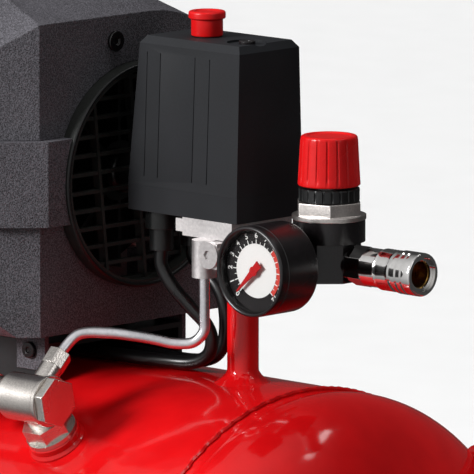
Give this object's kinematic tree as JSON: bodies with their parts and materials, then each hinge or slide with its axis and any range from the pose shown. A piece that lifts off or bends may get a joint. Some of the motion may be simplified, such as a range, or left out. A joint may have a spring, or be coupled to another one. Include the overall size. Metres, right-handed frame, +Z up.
{
  "type": "air compressor",
  "caption": "Portable piston air compressor: horizontal red tank on wheels and feet, shrouded motor and pump, pressure switch, regulator with gauge and quick coupler.",
  "frame": {"origin": "centre of the object's box, on the floor the wheels and feet stand on", "axes": "+X along the tank towards the handle and outlet, +Y across it away from the gauge's face, +Z up"},
  "size_m": [0.932, 0.3906, 0.59],
  "materials": {
    "red_enamel": "gloss enamel",
    "black_paint": "satin black paint",
    "soft_rubber": "moulded black rubber",
    "tyre_rubber": "treaded solid rubber",
    "shroud_plastic": "grained black moulding",
    "switch_plastic": "fine grained dark moulding",
    "button_plastic": "smooth red moulding",
    "knob_plastic": "fluted red moulding",
    "black_plastic": "smooth black moulding",
    "cast_aluminium": "sand blasted casting",
    "cylinder_iron": "raw casting with machined faces",
    "plain_steel": "machined",
    "zinc_plate": "zinc plated",
    "nickel_casting": "nickel plated casting",
    "soft_aluminium": "drawn tube",
    "sleeve_chrome": "polished with a knurled band",
    "yellow_brass": "turned",
    "black_metal": "black coated zinc casting",
    "dial_white": "printed white dial with plain numbers",
    "needle_red": "matt red",
    "lead_sheath": "smooth flexible sheath",
    "oil_glass": "clear window over oil"
  },
  "bodies": {
    "root": {"tank_shell": "red_enamel", "tank_heads": "red_enamel", "tank_fittings": "red_enamel", "pump_plate": "black_paint", "rubber_mounts": "soft_rubber", "tank_brackets": "red_enamel", "wheel_bolts": "zinc_plate", "handle_tube": "red_enamel", "handle_grip": "soft_rubber", "drain_body": "yellow_brass", "shroud_upper": "shroud_plastic", "shroud_lower": "shroud_plastic", "fan_grille": "shroud_plastic", "case_screws": "black_metal", "crankcase": "cast_aluminium", "crankcase_cover": "cast_aluminium", "sight_glass": "oil_glass", "oil_filler": "black_plastic", "cylinder": "cylinder_iron", "valve_plate": "plain_steel", "cylinder_head": "cast_aluminium", "pump_bolts": "zinc_plate", "air_filter": "black_plastic", "motor_stator": "plain_steel", "end_shield": "cast_aluminium", "bearings": "plain_steel", "delivery_pipe": "soft_aluminium", "check_valve_body": "nickel_casting", "check_valve_cap": "nickel_casting", "pipe_nuts": "nickel_casting", "unloader_tube": "soft_aluminium", "unloader_valve": "nickel_casting", "manifold": "nickel_casting", "switch_base": "switch_plastic", "switch_cover": "switch_plastic", "switch_frame": "zinc_plate", "cable_glands": "black_plastic", "leads": "lead_sheath", "safety_valve": "yellow_brass", "regulator_body": "black_metal", "bonnet_nut": "zinc_plate", "gauge_case": "black_metal", "gauge_dial": "dial_white", "coupler_body": "sleeve_chrome"},
    "wheel_front": {"wheel_hub_front": "red_enamel", "tyre_front": "tyre_rubber"},
    "wheel_rear": {"wheel_hub_rear": "red_enamel", "tyre_rear": "tyre_rubber"},
    "drain": {"drain_knob": "yellow_brass"},
    "rotor_group": {"rotor": "plain_steel", "crank_disc": "plain_steel", "fan": "black_plastic"},
    "piston_group": {"piston": "cast_aluminium", "connecting_rod": "cast_aluminium"},
    "button": {"switch_button": "button_plastic"},
    "knob": {"regulator_knob": "knob_plastic"},
    "lock": {"lock_ring": "black_plastic"},
    "needle": {"gauge_needle": "needle_red"},
    "safety_pull": {"safety_ring": "zinc_plate"},
    "sleeve": {"coupler_sleeve": "sleeve_chrome"}
  },
  "joints": [
    {"name": "wheel_front_spin", "type": "hinge", "parent": "root", "child": "wheel_front", "pos_m": [-0.323, -0.17, 0.08], "axis": [0, 1, 0], "continuous": true},
    {"name": "wheel_rear_spin", "type": "hinge", "parent": "root", "child": "wheel_rear", "pos_m": [-0.323, 0.17, 0.08], "axis": [0, 1, 0], "continuous": true},
    {"name": "drain_turn", "type": "hinge", "parent": "root", "child": "drain", "pos_m": [-0.073, 0, 0.03], "axis": [0, 0, 1], "range_deg": [0, 450]},
    {"name": "shaft_spin", "type": "hinge", "parent": "root", "child": "rotor_group", "pos_m": [-0.05, 0, 0.4555], "axis": [1, 0, 0], "continuous": true},
    {"name": "piston_stroke", "type": "slide", "parent": "root", "child": "piston_group", "axis": [0, 0, 1], "range_m": [0, 0.034]},
    {"name": "button_pull", "type": "slide", "parent": "root", "child": "button", "axis": [0, 0, 1], "range_m": [0, 0.007]},
    {"name": "knob_turn", "type": "hinge", "parent": "root", "child": "knob", "pos_m": [0.241, 0, 0.47], "axis": [0, 0, 1], "range_deg": [0, 900]},
    {"name": "lock_ring_turn", "type": "hinge", "parent": "root", "child": "lock", "pos_m": [0.241, 0, 0.46], "axis": [0, 0, 1], "range_deg": [0, 540]},
    {"name": "needle_turn", "type": "hinge", "parent": "root", "child": "needle", "pos_m": [0.241, -0.056, 0.424], "axis": [0, 1, 0], "range_deg": [0, 270]},
    {"name": "safety_pull_out", "type": "slide", "parent": "root", "child": "safety_pull", "axis": [0, 1, 0], "range_m": [0, 0.003], "stiffness_N_per_m": 500},
    {"name": "sleeve_back", "type": "slide", "parent": "root", "child": "sleeve", "axis": [-1, 0, 0], "range_m": [0, 0.006], "stiffness_N_per_m": 800}
  ]
}
